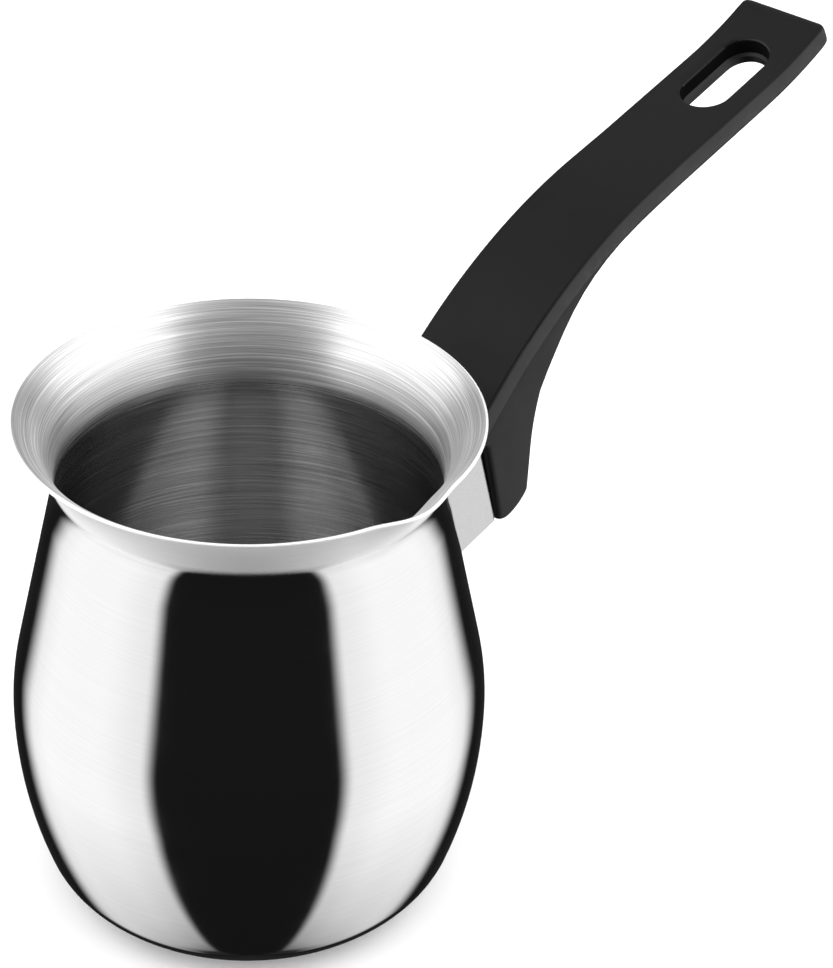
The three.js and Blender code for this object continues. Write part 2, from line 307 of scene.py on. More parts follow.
def cut(piece, cutters, operation="DIFFERENCE"):
    """Cuts meshes out of an object, or joins or intersects them with it, and applies the result."""
    for cutter in cutters:
        tool = bpy.data.objects.new("cutter", cutter)
        SCENE.collection.objects.link(tool)
        modifier = piece.modifiers.new("cut", "BOOLEAN")
        modifier.operation = operation
        modifier.solver = "EXACT"
        modifier.object = tool
        apply_modifiers(piece)
        bpy.data.objects.remove(tool)


def apply_modifiers(piece):
    """Makes the modified shape the object's own mesh."""
    graph = bpy.context.evaluated_depsgraph_get()
    mesh = bpy.data.meshes.new_from_object(piece.evaluated_get(graph), depsgraph=graph)
    piece.modifiers.clear()
    piece.data = mesh


def bevelled(piece, width, segments=3, angle=30):
    """Rounds the object's sharp edges."""
    modifier = piece.modifiers.new("edges", "BEVEL")
    modifier.width = width * MM
    modifier.segments = segments
    modifier.limit_method = "ANGLE"
    modifier.angle_limit = math.radians(angle)
    modifier.harden_normals = True


def even_normals(piece):
    """Keeps the large faces flat where they meet a rounding."""
    modifier = piece.modifiers.new("normals", "WEIGHTED_NORMAL")
    modifier.keep_sharp = True


# ---- Materials --------------------------------------------------------------------------------

class Nodes:
    """A short way to write a node tree."""

    def __init__(self, tree):
        self.tree = tree

    def add(self, kind, inputs=(), **settings):
        node = self.tree.nodes.new(kind)
        for key, value in settings.items():
            setattr(node, key, value)
        for key, value in dict(inputs).items():
            if isinstance(value, bpy.types.NodeSocket):
                self.tree.links.new(value, node.inputs[key])
            else:
                node.inputs[key].default_value = value
        return node

    def math(self, operation, first, second=0.0):
        return self.add("ShaderNodeMath", {0: first, 1: second}, operation=operation).outputs[0]

    def ranged(self, value, low, high, to_low=0.0, to_high=1.0, smooth=False):
        inputs = {"Value": value, "From Min": low, "From Max": high, "To Min": to_low, "To Max": to_high}
        kind = "SMOOTHSTEP" if smooth else "LINEAR"
        return self.add("ShaderNodeMapRange", inputs, interpolation_type=kind).outputs["Result"]

    def noise(self, vector, scale, detail=2.0, roughness=0.5):
        inputs = {"Vector": vector, "Scale": scale, "Detail": detail, "Roughness": roughness}
        return self.add("ShaderNodeTexNoise", inputs).outputs["Fac"]

    def scaled(self, vector, scale):
        return self.add("ShaderNodeMapping", {"Vector": vector, "Scale": scale}).outputs["Vector"]

    def bump(self, height, strength, distance):
        inputs = {"Height": height, "Strength": strength, "Distance": distance}
        return self.add("ShaderNodeBump", inputs).outputs["Normal"]

    def grey(self, value):
        return self.add("ShaderNodeCombineColor", {0: value, 1: value, 2: value}).outputs[0]


def principled(name, metallic, **uniform):
    """A material with its Principled shader and a Nodes helper."""
    material = bpy.data.materials.new(name)
    material.use_nodes = True
    shader = material.node_tree.nodes["Principled BSDF"]
    shader.inputs["Metallic"].default_value = metallic
    for socket, value in uniform.items():
        shader.inputs[socket.replace("_", " ")].default_value = value
    return material, shader, Nodes(material.node_tree)


# Heights between which the outside turns satin and takes a lighter base colour, a painted sheen, and the
# inside turns rougher, its base colour rising from a darker tone, a painted shade deep in the pot, to the
# flare's full tone.
SATIN_AND_SHEEN_START = 94.6
SATIN_AND_SHEEN_FULL = 96.8
INNER_FLARE_START = 88.5
INNER_FLARE_FULL = 95


def polished_steel():
    """Mirror polish with faint wiping marks and polishing lines, and a satin band below the rim whose
    lighter base colour is a painted sheen.
    """
    material, shader, nodes = principled("polished steel", 1.0)
    place = nodes.add("ShaderNodeTexCoord").outputs["Object"]
    wiping = nodes.noise(nodes.scaled(place, (40, 40, 90)), 1.0, 3.0)
    lines = nodes.noise(nodes.scaled(place, (30, 30, 4200)), 1.0, 2.0)
    height = nodes.add("ShaderNodeSeparateXYZ", {0: place}).outputs["Z"]
    flare = nodes.ranged(height, SATIN_AND_SHEEN_START * MM, SATIN_AND_SHEEN_FULL * MM, smooth=True)
    rough = nodes.ranged(wiping, 0.3, 0.7, 0.045, 0.085)
    rough = nodes.math("ADD", rough, nodes.math("MULTIPLY", flare, 0.62))
    tree = material.node_tree
    tree.links.new(rough, shader.inputs["Roughness"])
    tone = nodes.ranged(lines, 0.3, 0.7, 0.70, 0.73)
    # The band below the rim gets a lighter base colour here: a painted sheen.
    tone = nodes.math("ADD", tone, nodes.math("MULTIPLY", flare, 0.27))
    tree.links.new(nodes.grey(tone), shader.inputs["Base Color"])
    tree.links.new(nodes.bump(lines, 0.05, 0.02 * MM), shader.inputs["Normal"])
    return material


def brushed_steel():
    """Inside of the pot: turned with an abrasive pad, so fine lines run round it; below the flare its base
    colour is darker, a painted shade.
    """
    material, shader, nodes = principled("brushed steel", 1.0, Anisotropic=0.95)
    shader.inputs["Anisotropic Rotation"].default_value = 0.25
    tree = material.node_tree
    place = nodes.add("ShaderNodeTexCoord").outputs["Object"]
    along_wall = nodes.add(
        "ShaderNodeSeparateXYZ", {0: nodes.add("ShaderNodeUVMap").outputs[0]}).outputs["Y"]
    flat = nodes.add("ShaderNodeSeparateXYZ", {0: place})
    ringed = nodes.add(
        "ShaderNodeCombineXYZ", {"X": flat.outputs["X"], "Y": flat.outputs["Y"], "Z": along_wall}
    ).outputs[0]
    fine = nodes.noise(nodes.scaled(ringed, (45, 45, 7000)), 1.0, 3.0)
    coarse = nodes.noise(nodes.scaled(ringed, (28, 28, 3200)), 1.0, 2.0)
    cloudy = nodes.noise(nodes.scaled(ringed, (60, 60, 200)), 1.0, 2.0)
    scratch = nodes.ranged(coarse, 0.58, 0.66)
    both = nodes.math("ADD", nodes.math("MULTIPLY", fine, 0.6), nodes.math("MULTIPLY", coarse, 0.4))
    flare = nodes.ranged(
        flat.outputs["Z"], INNER_FLARE_START * MM, INNER_FLARE_FULL * MM, smooth=True)
    # Below the flare the base colour is scaled down to 0.66: a painted shade deep in the pot.
    mouth = nodes.ranged(flare, 0.0, 1.0, 0.66, 1.0)
    tone = nodes.ranged(both, 0.36, 0.64, 0.50, 0.92)
    tone = nodes.math("ADD", tone, nodes.math("MULTIPLY", scratch, 0.2))
    tone = nodes.math("MULTIPLY", tone, mouth)
    tree.links.new(nodes.grey(tone), shader.inputs["Base Color"])
    rough = nodes.ranged(fine, 0.3, 0.7, 0.14, 0.22)
    rough = nodes.math("ADD", rough, nodes.math("MULTIPLY", cloudy, 0.06))
    rough = nodes.math("ADD", rough, nodes.math("MULTIPLY", flare, 0.2))
    tree.links.new(rough, shader.inputs["Roughness"])
    tree.links.new(nodes.bump(both, 0.38, 0.03 * MM), shader.inputs["Normal"])
    tangent = nodes.add("ShaderNodeTangent", direction_type="UV_MAP").outputs[0]
    tree.links.new(tangent, shader.inputs["Tangent"])
    return material


def satin_steel():
    """Bracket: rolled strip with a fine grain and small tumbling marks."""
    material, shader, nodes = principled("satin steel", 1.0)
    tree = material.node_tree
    place = nodes.add("ShaderNodeTexCoord").outputs["Object"]
    grain = nodes.noise(nodes.scaled(place, (900, 900, 9000)), 1.0, 3.0)
    marks = nodes.noise(place, 500.0, 2.0)
    tree.links.new(nodes.grey(nodes.ranged(grain, 0.3, 0.7, 0.46, 0.50)), shader.inputs["Base Color"])
    tree.links.new(nodes.ranged(marks, 0.3, 0.7, 0.22, 0.28), shader.inputs["Roughness"])
    tree.links.new(nodes.bump(grain, 0.15, 0.01 * MM), shader.inputs["Normal"])
    return material


def zinc_plate():
    """Screw, nut and washers: bright zinc with a slightly uneven, faintly blue film."""
    material, shader, nodes = principled("zinc plate", 1.0)
    tree = material.node_tree
    place = nodes.add("ShaderNodeTexCoord").outputs["Object"]
    film = nodes.noise(place, 700.0, 3.0)
    tint = nodes.add("ShaderNodeMix", {"Factor": nodes.ranged(film, 0.3, 0.7)}, data_type="RGBA")
    tint.inputs["A"].default_value = (0.50, 0.51, 0.54, 1)
    tint.inputs["B"].default_value = (0.60, 0.60, 0.60, 1)
    tree.links.new(tint.outputs["Result"], shader.inputs["Base Color"])
    tree.links.new(nodes.ranged(film, 0.3, 0.7, 0.25, 0.42), shader.inputs["Roughness"])
    tree.links.new(nodes.bump(film, 0.2, 0.01 * MM), shader.inputs["Normal"])
    return material


def phenolic(name, level, rough_low, rough_high):
    """Black moulded phenolic with a fine skin and faint handling marks."""
    material, shader, nodes = principled(name, 0.0, Specular_IOR_Level=level)
    tree = material.node_tree
    place = nodes.add("ShaderNodeTexCoord").outputs["Object"]
    skin = nodes.noise(place, 5200.0, 2.0)
    marks = nodes.noise(nodes.scaled(place, (90, 90, 90)), 1.0, 4.0)
    mix = nodes.add("ShaderNodeMix", {"Factor": marks}, data_type="RGBA")
    mix.inputs["A"].default_value = (0.0045, 0.0043, 0.0045, 1)
    mix.inputs["B"].default_value = (0.0085, 0.0080, 0.0083, 1)
    tree.links.new(mix.outputs["Result"], shader.inputs["Base Color"])
    tree.links.new(nodes.ranged(marks, 0.3, 0.7, rough_low, rough_high), shader.inputs["Roughness"])
    tree.links.new(nodes.bump(skin, 0.25, 0.02 * MM), shader.inputs["Normal"])
    return material


# ---- Pot --------------------------------------------------------------------------------------

LOWER_WALL = [
    (CORNER_RADIUS, 90 - LOW_BELLY_SWEEP, 18),
    (LOW_BELLY_RADIUS, LOW_BELLY_SWEEP, 12),
    (HIGH_BELLY_RADIUS, SHOULDER_TILT, 8),
]
UPPER_WALL = [
    (NECK_RADIUS, -SHOULDER_TILT, 8),
    (FLARE_RADIUS, -FLARE_ANGLE, 20),
]
SHOULDER_PARTS = 10
SHOULDER = [(SHOULDER_LENGTH / SHOULDER_PARTS,)] * SHOULDER_PARTS
SHOULDER_FOOT = walk(BASE_FLAT_RADIUS, 0, 0, LOWER_WALL)[-1]
OUTER_WALL = walk(BASE_FLAT_RADIUS, 0, 0, LOWER_WALL + SHOULDER + UPPER_WALL)
RIM_HEIGHT = OUTER_WALL[-1][1]
NECK_HEIGHT = RIM_HEIGHT - FLARE_RADIUS * math.sin(math.radians(FLARE_ANGLE))


def smoothstep(value, low, high):
    """0 below low, 1 above high, and a smooth rise between them."""
    t = min(1.0, max(0.0, (value - low) / (high - low)))
    return t * t * (3 - 2 * t)


def lip_pulled(x, y, z):
    """The flare pulled outward and down around the lip's direction."""
    direction = math.degrees(math.atan2(y, x))
    across = min(1.0, abs(direction - LIP_DIRECTION) / LIP_HALF_WIDTH)
    pull = smoothstep(z, NECK_HEIGHT, RIM_HEIGHT) * math.cos(across * math.pi / 2) ** 2
    spread = 1 + pull * LIP_REACH / max(math.hypot(x, y), 1e-6)
    return x * spread, y * spread, z - pull * LIP_DROP


def pot_profile():
    """Section of the sheet as (radius, z): outside from the axis up, rim, inside back to the axis."""
    heading = OUTER_WALL[-1][2]
    middle = shifted([OUTER_WALL[-1]], WALL / 2)[0]
    rim = []
    for step in range(1, RIM_STEPS):
        angle = math.radians(heading - 90 + 180 * step / RIM_STEPS)
        rim.append((
            middle[0] + WALL / 2 * math.cos(angle),
            middle[1] + WALL / 2 * math.sin(angle),
        ))
    base = [(BASE_FLAT_RADIUS * i / BASE_RINGS_OUTSIDE, 0) for i in range(BASE_RINGS_OUTSIDE)]
    bottom = [(BASE_FLAT_RADIUS * i / BASE_RINGS_INSIDE, WALL) for i in range(BASE_RINGS_INSIDE)]
    outer = [point[:2] for point in OUTER_WALL]
    inner = [point[:2] for point in shifted(OUTER_WALL, WALL)]
    return base + outer, rim, inner[::-1] + bottom[::-1]


def pot():
    """The vessel, with the height along its wall as the second UV coordinate for the brushed lines."""
    outside, rim, inside = pot_profile()
    profile = outside + rim + inside
    mesh = bpy.data.meshes.new("pot")
    work = bmesh.new()
    uv = work.loops.layers.uv.new("UVMap")
    rings, lengths = [], [0.0]
    for first, second in zip(profile, profile[1:]):
        lengths.append(lengths[-1] + math.dist(first, second))
    for radius, z in profile:
        if radius == 0:
            rings.append([work.verts.new((0, 0, z * MM))] * POT_SIDES)
            continue
        ring = []
        for i in range(POT_SIDES):
            angle = 2 * math.pi * i / POT_SIDES
            place = lip_pulled(radius * math.cos(angle), radius * math.sin(angle), z)
            ring.append(work.verts.new(Vector(place) * MM))
        rings.append(ring)
    inner_start = len(outside) + len(rim) - 1
    for k in range(len(rings) - 1):
        for i in range(POT_SIDES):
            j = (i + 1) % POT_SIDES
            corners = [(k, i, i), (k, j, i + 1), (k + 1, j, i + 1), (k + 1, i, i)]
            kept = []
            for row, column, turn in corners:
                vert = rings[row][column]
                if vert not in [v for v, _, _ in kept]:
                    kept.append((vert, turn / POT_SIDES, lengths[row] * MM))
            face = work.faces.new([v for v, _, _ in kept])
            face.material_index = 1 if k >= inner_start else 0
            for loop, (_, u, v) in zip(face.loops, kept):
                loop[uv].uv = (u, v)
    bmesh.ops.recalc_face_normals(work, faces=work.faces)
    work.to_mesh(mesh)
    work.free()
    piece = made("pot", mesh, [polished_steel(), brushed_steel()], 60)
    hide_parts("pot_body")
    return piece


# ---- Bracket frame: x outward from the shoulder, z up along the web, origin on the shoulder ------

def shoulder_radius(z):
    """Outer radius of the straight shoulder at a height."""
    return SHOULDER_FOOT[0] - (z - SHOULDER_FOOT[1]) * math.tan(math.radians(SHOULDER_TILT))


BRACKET_ORIGIN = Vector((shoulder_radius(BRACKET_HEIGHT), 0, BRACKET_HEIGHT))
BRACKET_LEAN = Euler((0, -math.radians(BRACKET_TILT), 0)).to_matrix().to_4x4()
BRACKET_FRAME = Matrix.Translation(BRACKET_ORIGIN * MM) @ BRACKET_LEAN
UP_TO_OUTWARD = Euler((0, math.pi / 2, 0)).to_matrix().to_4x4()


def from_bracket(outward, up):
    """A point of the bracket frame's middle plane, as (x, z) of the object in millimetres."""
    point = BRACKET_FRAME @ (Vector((outward, 0, up)) * MM) / MM
    return point.x, point.z


def along_screw(mesh):
    """Turns a mesh made along +Z so that it lies along the screw's axis, and places it."""
    mesh.transform(BRACKET_FRAME @ UP_TO_OUTWARD)
    return mesh


# ---- Bracket ----------------------------------------------------------------------------------

def half_strip():
    """Middle line of the strip from the centre of the web to the end of one flange."""
    middle_radius = FLANGE_SURFACE_RADIUS + STRIP / 2
    axis = GAP - FLANGE_SURFACE_RADIUS
    web_bend = (WEB_BEND, 90, 8)
    flange_bend = (FLANGE_BEND, 90 + FLANGE_START, 20)
    bare = walk(STANDOFF - STRIP / 2, 0, 90, [web_bend, flange_bend])[-1]
    flange_x = axis + middle_radius * math.cos(math.radians(FLANGE_START))
    flange_y = middle_radius * math.sin(math.radians(FLANGE_START))
    moves = [
        (flange_y - bare[1],),
        web_bend,
        (bare[0] - flange_x,),
        flange_bend,
        (middle_radius, -FLANGE_SWEEP, 6),
    ]
    return walk(STANDOFF - STRIP / 2, 0, 90, moves)


def fitted_to_shoulder(mesh):
    """Leans the flanges back onto the shoulder and leaves the web upright in the bracket frame."""
    lean = math.tan(math.radians(BRACKET_TILT - SHOULDER_TILT))
    for vert in mesh.vertices:
        share = max(0.0, 1 - vert.co.x / ((STANDOFF - STRIP) * MM))
        vert.co.x += share * lean * vert.co.z
    return mesh


def bracket():
    """The folded strip, with the screw's hole through its web."""
    half = half_strip()
    mirrored = [(x, -y, 180 - h) for x, y, h in half[:0:-1]]
    middle = mirrored + half
    outline = shifted(middle, -STRIP / 2) + shifted(middle, STRIP / 2)[::-1]
    mesh = extruded([p[:2] for p in outline], -BRACKET_LENGTH / 2, BRACKET_LENGTH / 2)
    piece = made("bracket", fitted_to_shoulder(mesh), [satin_steel()])
    hole = lathe([(0, 0), (HOLE_RADIUS, 0), (HOLE_RADIUS, 3 * STRIP), (0, 3 * STRIP)], 48)
    hole.transform(Matrix.Translation(Vector((STANDOFF - 2 * STRIP, 0, 0)) * MM) @ UP_TO_OUTWARD)
    cut(piece, [hole])
    piece.data.transform(BRACKET_FRAME)
    bevelled(piece, STRIP_EDGE_RADIUS, 3, 40)
    piece.data.shade_smooth()
    piece.data.set_sharp_from_angle(angle=math.radians(35))
    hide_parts("handle_bracket")
    return piece


# ---- Screw, washers and nut, stacked outward from the web ---------------------------------------

FOOT_FACE = STANDOFF + GAP
SEAT = FOOT_FACE + SEAT_THICKNESS
FLAT_WASHER_BACK = SEAT + GAP
SPRING_WASHER_BACK = FLAT_WASHER_BACK + FLAT_WASHER_THICKNESS + GAP
HEAD_SEAT = SPRING_WASHER_BACK + SPRING_WASHER_THICKNESS + GAP


def threaded_shank(low, high, sides=40):
    """The shank with a real helical thread, from its tip at low to the head at high."""
    rows = round((high - low) / THREAD_PITCH * ROWS_PER_PITCH)
    verts, faces = [(0, 0, low)], []
    for row in range(rows + 1):
        z = low + (high - low) * row / rows
        for side in range(sides):
            turn = side / sides
            phase = (z / THREAD_PITCH - turn) % 1
            groove = THREAD_DEPTH * (1 - abs(2 * phase - 1))
            taper = TIP_TAPER * max(0, 1 - (z - low) / TIP_TAPER_LENGTH)
            radius = SHANK_RADIUS - max(groove, taper)
            angle = 2 * math.pi * turn
            verts.append((radius * math.cos(angle), radius * math.sin(angle), z))
    verts.append((0, 0, high))
    last = 1 + rows * sides
    for side in range(sides):
        after = (side + 1) % sides
        faces.append([0, 1 + after, 1 + side])
        faces.append([len(verts) - 1, last + side, last + after])
        for row in range(rows):
            base = 1 + row * sides
            faces.append([base + side, base + after, base + sides + after, base + sides + side])
    return mesh_from(verts, faces)


def cross_recess(top):
    """Two tapered wings, one across the other, that cut the cross into a head whose top is at a height."""
    above = top + RECESS_HALF_WIDTH
    outline = [
        (-RECESS_TOP_HALF, above), (-RECESS_LOW_HALF, top - RECESS_DEPTH),
        (RECESS_LOW_HALF, top - RECESS_DEPTH), (RECESS_TOP_HALF, above),
    ]
    upright = Euler((math.pi / 2, 0, 0)).to_matrix().to_4x4()
    wings = []
    for turn in (0, 90):
        wing = extruded(outline, -RECESS_HALF_WIDTH, RECESS_HALF_WIDTH)
        wing.transform(Matrix.Rotation(math.radians(turn), 4, "Z") @ upright)
        wings.append(wing)
    return wings


def screw():
    """Pan head with a cross recess, on a threaded shank."""
    top = HEAD_SEAT + HEAD_HEIGHT
    dome_height = HEAD_HEIGHT - HEAD_WALL
    angles = [math.pi / 2 * i / HEAD_STEPS for i in range(HEAD_STEPS)]
    dome = [
        (HEAD_RADIUS * math.cos(a), HEAD_SEAT + HEAD_WALL + dome_height * math.sin(a) ** 0.9)
        for a in angles
    ]
    head = lathe([
        (0, HEAD_SEAT), (HEAD_RADIUS - HEAD_CHAMFER, HEAD_SEAT),
        (HEAD_RADIUS, HEAD_SEAT + HEAD_CHAMFER), *dome, (0, top),
    ], 64)
    piece = made("screw", head, [zinc_plate()], 40)
    cut(piece, cross_recess(top))
    shank = threaded_shank(HEAD_SEAT - SHANK_LENGTH, HEAD_SEAT + HEAD_CHAMFER)
    cut(piece, [shank], "UNION")
    along_screw(piece.data)
    piece.data.shade_smooth()
    piece.data.set_sharp_from_angle(angle=math.radians(32))
    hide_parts("handle_screw")
    return piece


def nut():
    """Hexagon nut with its corners turned off at both ends."""
    low = STANDOFF - STRIP - GAP - NUT_THICKNESS
    high = low + NUT_THICKNESS
    corner = NUT_ACROSS_FLATS / 2 / math.cos(math.pi / 6)
    hexagon = [
        (corner * math.cos(math.pi / 3 * i), corner * math.sin(math.pi / 3 * i)) for i in range(6)
    ]
    piece = made("nut", extruded(hexagon, low, high), [zinc_plate()])
    flat = NUT_ACROSS_FLATS / 2
    drop = (corner - flat) * math.tan(math.radians(NUT_CHAMFER_ANGLE))
    barrel = lathe([(0, low), (flat, low), (corner, low + drop), (corner, high - drop),
                    (flat, high), (0, high)], 72)
    cut(piece, [barrel], "INTERSECT")
    bore = lathe([(0, low - 1), (HOLE_RADIUS, low - 1), (HOLE_RADIUS, high + 1), (0, high + 1)], 48)
    cut(piece, [bore])
    along_screw(piece.data)
    bevelled(piece, NUT_EDGE_RADIUS, 2)
    piece.data.shade_smooth()
    piece.data.set_sharp_from_angle(angle=math.radians(25))
    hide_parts("captive_nut")
    return piece


def washer(name, node, back, radius, thickness, open_angle):
    """A flat ring, or a split one if open_angle is more than zero."""
    start = math.radians(open_angle / 2)
    end = 2 * math.pi - start
    count = WASHER_STEPS + (1 if open_angle else 0)
    angles = [start + (end - start) * i / WASHER_STEPS for i in range(count)]
    section = [
        (HOLE_RADIUS, WASHER_EDGE), (HOLE_RADIUS + WASHER_EDGE, 0),
        (radius - WASHER_EDGE, 0), (radius, WASHER_EDGE),
        (radius, thickness - WASHER_EDGE), (radius - WASHER_EDGE, thickness),
        (HOLE_RADIUS + WASHER_EDGE, thickness), (HOLE_RADIUS, thickness - WASHER_EDGE),
    ]
    corners = len(section)
    verts = [
        (r * math.cos(a), r * math.sin(a), back + z) for a in angles for r, z in section
    ]
    faces = []
    rings = len(angles)
    for i in range(rings - 1 if open_angle else rings):
        low, high = i * corners, (i + 1) % rings * corners
        for k in range(corners):
            after = (k + 1) % corners
            faces.append([low + k, low + after, high + after, high + k])
    if open_angle:
        faces += [list(range(corners)), list(range((rings - 1) * corners, rings * corners))]
    piece = made(name, along_screw(mesh_from(verts, faces)), [zinc_plate()], 30)
    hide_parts(node)
    return piece


# ---- Handle -----------------------------------------------------------------------------------

TOP_MOVES = [(*TOP_LOW_ARC, 68), (TOP_STRAIGHT,), (*TOP_TIP_ARC, 28)]
TOP_LINE = walk(*TOP_START, TOP_MOVES)
TIP = TOP_LINE[-1]
TIP_FACING = Vector((math.cos(math.radians(TIP[2])), math.sin(math.radians(TIP[2]))))
TOP_POINTS = spaced(TOP_LINE, 1.0)
OUTLINE_SPACING = 0.9
FAR = 1e9

# How finely the rounded edges and the strip between the two sides are divided.
CAP_RINGS = 6
LANES = 10

# Triangles of a side: spacing of its grid and of its crease at the parting line, and their clearances.
GRID_SPACING = 3.0
GRID_MARGIN = 0.8
CREASE_SPACING = 1.6
CREASE_CLEARANCE = 1.0
LINE_MARGIN = 0.5
TIP_ROW_SPACING = 1.2

# The outline's lines in order: how far the rounding of the corner after it reaches, and its edge radius.
OUTLINE_LINES = {
    "nose": (0.8, 0.8),
    "front": (3.0, 1.6),
    "foot": (18.0, 1.7),
    "underside": (4.0, 1.5),
    "tip": (2.0, 1.1),
    "top": (1.3, 0.7),
}
CORNER_CUTS = [reach for reach, _ in OUTLINE_LINES.values()]
EDGE_RADII = [radius for _, radius in OUTLINE_LINES.values()]

# Points at the start of the underside that lie inside the foot, where no crossing is looked for.
UNDER_SKIPPED = 4


def depth_below_top(point):
    """Distance from the top line."""
    best = FAR
    for start, end in zip(TOP_POINTS, TOP_POINTS[1:]):
        along = end - start
        t = min(1.0, max(0.0, (point - start).dot(along) / along.length_squared))
        best = min(best, (point - start - along * t).length)
    return best


def half_width(point):
    """Half of the handle's width at an (x, z) of its side view."""
    share = min(1.0, max(0.0, (GRIP_X - point.x) / (GRIP_X - NOSE_X)))
    widest = (GRIP_WIDTH + (NOSE_WIDTH - GRIP_WIDTH) * share) / 2
    depth = depth_below_top(point)
    undercut = smoothstep(point.x, UNDERCUT_START_X, UNDERCUT_FULL_X)
    lower = LOWER_DRAFT + (UNDERCUT_DRAFT - LOWER_DRAFT) * undercut
    widest -= abs(depth - PARTING_DEPTH) * (UPPER_DRAFT if depth < PARTING_DEPTH else lower)
    to_tip = (Vector(TIP[:2]) - point).dot(TIP_FACING)
    if to_tip < TIP_CORNER_RADIUS:
        inward = TIP_CORNER_RADIUS - max(0.0, to_tip)
        widest -= TIP_CORNER_RADIUS - math.sqrt(TIP_CORNER_RADIUS**2 - inward**2)
    return widest


def handle_outline():
    """Side view of the handle: its closed outline, and the edge radius at each point."""
    under = spaced(shifted(TOP_LINE, -GRIP_THICKNESS), OUTLINE_SPACING)
    toe = from_bracket(FOOT_FACE, -FOOT_DROP)
    sole = walk(*toe, -BRACKET_TILT, [
        (FOOT_TOE_RADIUS, BRACKET_TILT, 4),
        (FOOT_SOLE_RADIUS, FOOT_SOLE_TURN, 14),
        (FOOT_HEEL_RADIUS, 90 - FOOT_SOLE_TURN, 8),
    ])
    heel_x, heel_z, _ = sole[-1]
    back = walk(heel_x, heel_z, 90, [
        (FOOT_BACK_START_Z - heel_z,),
        (FOOT_BACK_RADIUS, -FOOT_BACK_TURN, 40),
    ])
    foot = spaced(sole + back[1:], OUTLINE_SPACING)
    front = spaced([toe, from_bracket(FOOT_FACE, 3 * FOOT_DROP)], OUTLINE_SPACING)
    nose_end = shifted(TOP_LINE[:1], -2 * GRIP_THICKNESS)[0]
    nose = spaced([TOP_LINE[0], nose_end], OUTLINE_SPACING)
    tip = spaced([shifted([TIP], -GRIP_THICKNESS)[0], TIP], OUTLINE_SPACING)
    at_nose, at_front, nose_foot = crossing(nose, front)
    at_foot, at_bar, merge = crossing(foot, under[UNDER_SKIPPED:])
    lines = [
        nose[:at_nose + 1] + [nose_foot],
        [nose_foot] + front[:at_front + 1][::-1],
        foot[:at_foot + 1] + [merge],
        [merge] + under[UNDER_SKIPPED + at_bar + 1:],
        tip,
        TOP_POINTS[::-1],
    ]
    outline, owner = joined(lines, CORNER_CUTS)
    radii = []
    for place in owner:
        low, share = int(place), place % 1
        after = (low + 1) % len(EDGE_RADII)
        radii.append(EDGE_RADII[low] * (1 - share) + EDGE_RADII[after] * share)
    for _ in range(3):
        radii = [
            (radii[i - 1] + 2 * radii[i] + radii[(i + 1) % len(radii)]) / 4 for i in range(len(radii))
        ]
    return outline, radii


def outward_normals(outline):
    """Outward unit normals of a closed outline that runs anticlockwise."""
    count = len(outline)
    normals = []
    for i in range(count):
        before = outline[i] - outline[i - 1]
        after = outline[(i + 1) % count] - outline[i]
        run = before.normalized() + after.normalized()
        normals.append(Vector((run.y, -run.x)).normalized())
    return normals


def side_patch(ring):
    """Triangles over one side of the handle, inside the innermost ring of its rounded edge.

    Returns the points, the triangles, and for each ring point its index among the points.
    """
    points = list(ring)
    edges = []
    crease = spaced(shifted(TOP_LINE, -PARTING_DEPTH), CREASE_SPACING)
    for line in [crease, *tip_lines()]:
        kept = [p for p in line if inside(p, ring, LINE_MARGIN)]
        edges += [(len(points) + i, len(points) + i + 1) for i in range(len(kept) - 1)]
        points += kept
    low_x, high_x = min(p.x for p in ring), max(p.x for p in ring)
    low_z, high_z = min(p.y for p in ring), max(p.y for p in ring)
    for i in range(int((high_x - low_x) / GRID_SPACING) + 1):
        for j in range(int((high_z - low_z) / GRID_SPACING) + 1):
            point = Vector((low_x + i * GRID_SPACING, low_z + j * GRID_SPACING))
            clear = min((point - p).length for p in crease) > CREASE_CLEARANCE
            if clear and inside(point, ring, GRID_MARGIN):
                points.append(point)
    border = [list(range(len(ring)))]
    verts, _, faces, origins, _, _ = delaunay_2d_cdt(points, edges, border, 1, 1e-6)
    place = {}
    for index, sources in enumerate(origins):
        for source in sources:
            place[source] = index
    return verts, faces, [place[i] for i in range(len(ring))]


def tip_lines():
    """Rows of points across the bar near its tip, where the sides round in towards the end."""
    tip = Vector(TIP[:2])
    across = Vector((-TIP_FACING.y, TIP_FACING.x))
    rows = []
    for inset in (1.3, 1.9, 2.6, 3.4):
        start = tip - TIP_FACING * inset
        rows.append([start - across * TIP_ROW_SPACING * (i + 1) for i in range(4)])
    return rows


def inside(point, ring, margin):
    """Whether a point is inside a closed ring, at least margin from it."""
    hit = False
    for start, end in zip(ring, ring[1:] + ring[:1]):
        if (start.y > point.y) != (end.y > point.y):
            x = start.x + (point.y - start.y) * (end.x - start.x) / (end.y - start.y)
            hit ^= point.x < x
        along = end - start
        if along.length_squared > 0:
            t = min(1.0, max(0.0, (point - start).dot(along) / along.length_squared))
            if (point - start - along * t).length < margin:
                return False
    return hit


def edge_rings(outline, radii):
    """Rings of (side view point, half width) that round one side's edge, from its outline inward."""
    normals = outward_normals(outline)
    rings = []
    for step in range(CAP_RINGS + 1):
        angle = math.pi / 2 * step / CAP_RINGS
        ring = []
        for point, normal, radius in zip(outline, normals, radii):
            place = point - normal * radius * (1 - math.cos(angle))
            ring.append((place, half_width(place) - radius * (1 - math.sin(angle))))
        rings.append(ring)
    return rings


def quads(low, high):
    """Four-sided faces between two closed rows of vertex indices."""
    corners = zip(low, low[1:] + low[:1], high[1:] + high[:1], high)
    return [list(face) for face in corners]


